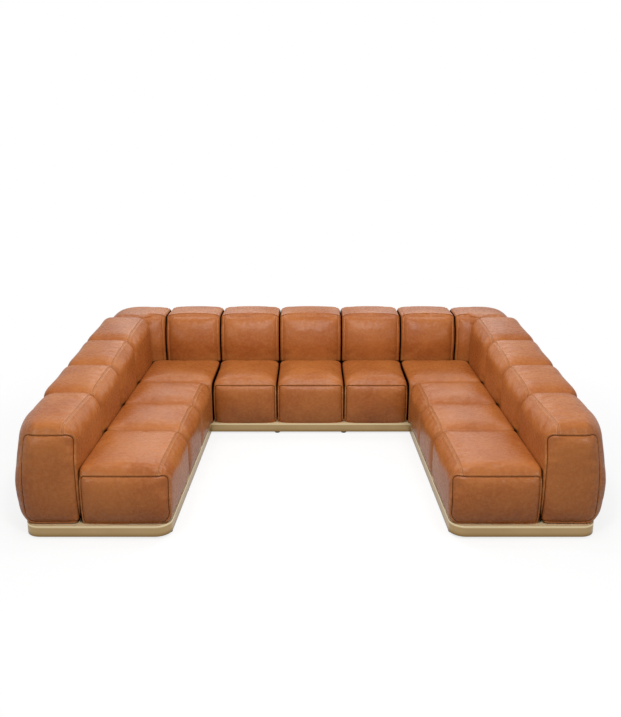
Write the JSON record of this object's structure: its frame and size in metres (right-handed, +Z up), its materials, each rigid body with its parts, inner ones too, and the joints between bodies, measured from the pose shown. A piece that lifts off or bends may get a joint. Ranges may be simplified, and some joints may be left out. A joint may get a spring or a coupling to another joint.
{
  "type": "u-shaped sofa",
  "caption": "U-shaped modular sofa of crowned leather blocks, with arms rising to a straight back, on a low brass-clad plinth.",
  "frame": {"origin": "on the floor at the middle of the plan", "axes": "+X along the back run to the right as seen from the open end, +Y towards the back, +Z up"},
  "size_m": [3.32, 2.724, 0.7958],
  "materials": {
    "leather": "tan aniline leather with a soft sheen and fine grain",
    "brass": "brushed along the skirt",
    "timber": "planed softwood",
    "plywood": "sanded birch plywood",
    "webbing": "woven elastic strap",
    "dust_cloth": "black non-woven cloth",
    "glide_plastic": "moulded",
    "steel": "zinc plated"
  },
  "bodies": {
    "root": {"seat_left_1": "leather", "seat_left_2": "leather", "seat_left_3": "leather", "seat_left_4": "leather", "seat_right_1": "leather", "seat_right_2": "leather", "seat_right_3": "leather", "seat_right_4": "leather", "seat_back_1": "leather", "seat_back_2": "leather", "seat_back_3": "leather", "arm_left_1": "leather", "arm_left_2": "leather", "arm_left_3": "leather", "arm_left_4": "leather", "arm_right_1": "leather", "arm_right_2": "leather", "arm_right_3": "leather", "arm_right_4": "leather", "corner_left": "leather", "corner_right": "leather", "back_1": "leather", "back_2": "leather", "back_3": "leather", "back_4": "leather", "back_5": "leather", "skirt_left": "brass", "skirt_centre": "brass", "skirt_right": "brass", "base_left": "timber", "base_centre": "timber", "base_right": "timber", "deck_left": "plywood", "deck_centre": "plywood", "deck_right": "plywood", "webbing_left": "webbing", "webbing_centre": "webbing", "webbing_right": "webbing", "arm_upright_left": "plywood", "arm_upright_right": "plywood", "back_upright_left": "plywood", "back_upright_centre": "plywood", "back_upright_right": "plywood", "under_cloth_left": "dust_cloth", "under_cloth_centre": "dust_cloth", "under_cloth_right": "dust_cloth", "glides_left": "glide_plastic", "glides_centre": "glide_plastic", "glides_right": "glide_plastic", "deck_screws_left": "steel", "deck_screws_centre": "steel", "deck_screws_right": "steel", "unit_bolts_left": "steel", "unit_bolts_right": "steel", "unit_nuts_left": "steel", "unit_nuts_right": "steel"}
  },
  "joints": []
}
